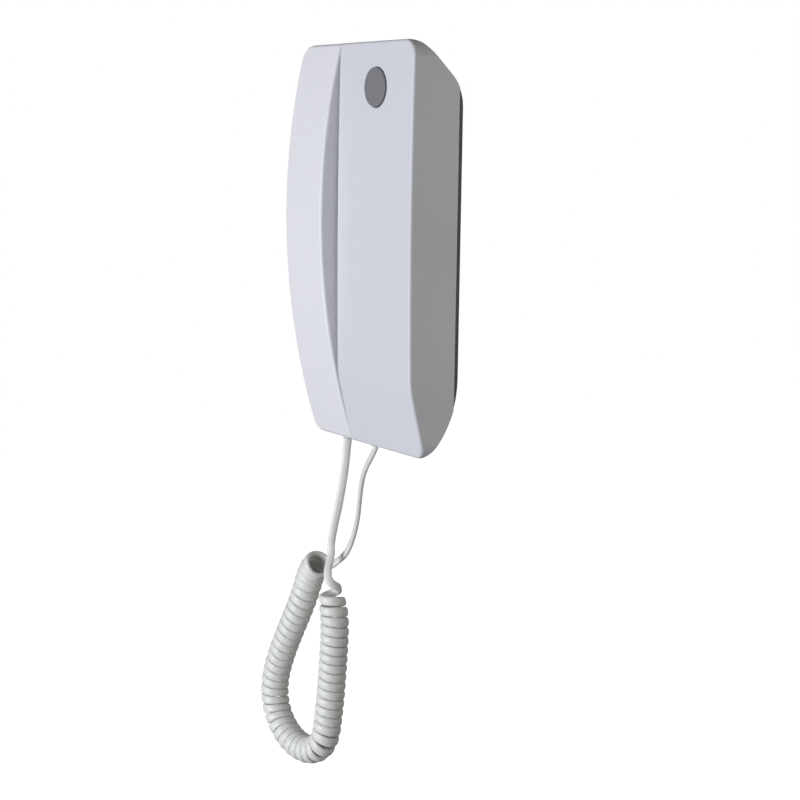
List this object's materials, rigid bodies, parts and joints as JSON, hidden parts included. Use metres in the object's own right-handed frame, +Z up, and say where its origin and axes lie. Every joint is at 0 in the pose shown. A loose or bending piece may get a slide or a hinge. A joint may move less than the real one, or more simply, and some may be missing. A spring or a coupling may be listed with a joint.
{
  "type": "audio intercom handset",
  "caption": "Wall-mounted audio intercom station: a base with a raised face and round call button, and a bowed handset resting beside it on a curly cord.",
  "frame": {"origin": "midway between the two wall screws, on the wall plane behind the wall plate", "axes": "+X to the right as seen from the room, +Y into the wall, +Z up"},
  "size_m": [0.1396, 0.0378, 0.3816],
  "materials": {
    "shell_white": "fine spark-eroded ABS",
    "handset_white": "fine spark-eroded ABS, slightly glossier from handling",
    "plate_grey": "plain moulded ABS",
    "button_grey": "satin ABS",
    "hook_ivory": "plain acetal",
    "board_green": "solder mask over glass laminate",
    "terminal_green": "moulded polyamide",
    "switch_black": "moulded polybutylene",
    "plunger_white": "plain acetal",
    "zinc_steel": "zinc plated steel",
    "gasket_black": "closed-cell foam",
    "boot_grey": "moulded silicone",
    "cord_grey": "satin PVC sheath"
  },
  "bodies": {
    "base": {"wall_plate": "plate_grey", "base_cover": "shell_white", "circuit_board": "board_green", "board_screws": "zinc_steel", "terminal_block": "terminal_green", "terminal_screws": "zinc_steel", "call_sounder": "switch_black", "door_switch_body": "switch_black", "hook_switch_body": "switch_black", "hook_pivot_pin": "zinc_steel", "base_cord_relief": "cord_grey", "cord_base_lead": "cord_grey", "cord_coil": "cord_grey", "cord_handset_lead": "cord_grey"},
    "handset": {"handset_front": "handset_white", "handset_back": "handset_white", "earpiece_capsule": "zinc_steel", "earpiece_gasket": "gasket_black", "microphone_capsule": "zinc_steel", "microphone_boot": "boot_grey", "handset_screws": "zinc_steel", "handset_cord_relief": "cord_grey"},
    "button": {"call_button": "button_grey"},
    "door_plunger": {"door_switch_plunger": "plunger_white"},
    "hook": {"hook_lever": "hook_ivory", "hook_spring": "zinc_steel"},
    "hook_plunger": {"hook_switch_plunger": "plunger_white"}
  },
  "joints": [
    {"name": "handset_lift", "type": "slide", "parent": "base", "child": "handset", "axis": [0, -1, 0], "range_m": [0, 0.04]},
    {"name": "hook_swing", "type": "hinge", "parent": "base", "child": "hook", "pos_m": [-0.0122, -0.006, 0.058], "axis": [0, 0, 1], "range_deg": [0, 7]},
    {"name": "hook_plunger_slide", "type": "slide", "parent": "base", "child": "hook_plunger", "axis": [0, 1, 0], "range_m": [0, 0.001]},
    {"name": "button_press", "type": "slide", "parent": "base", "child": "button", "axis": [0, 1, 0], "range_m": [0, 0.0012], "stiffness_N_per_m": 1500},
    {"name": "door_plunger_slide", "type": "slide", "parent": "base", "child": "door_plunger", "axis": [0, 1, 0], "range_m": [0, 0.0012]}
  ],
  "couplings": [
    {"joint": "hook_swing", "follows": "handset_lift", "rad_per_m": 3.05},
    {"joint": "hook_plunger_slide", "follows": "handset_lift", "ratio": 0.025},
    {"joint": "door_plunger_slide", "follows": "button_press", "ratio": 1}
  ]
}
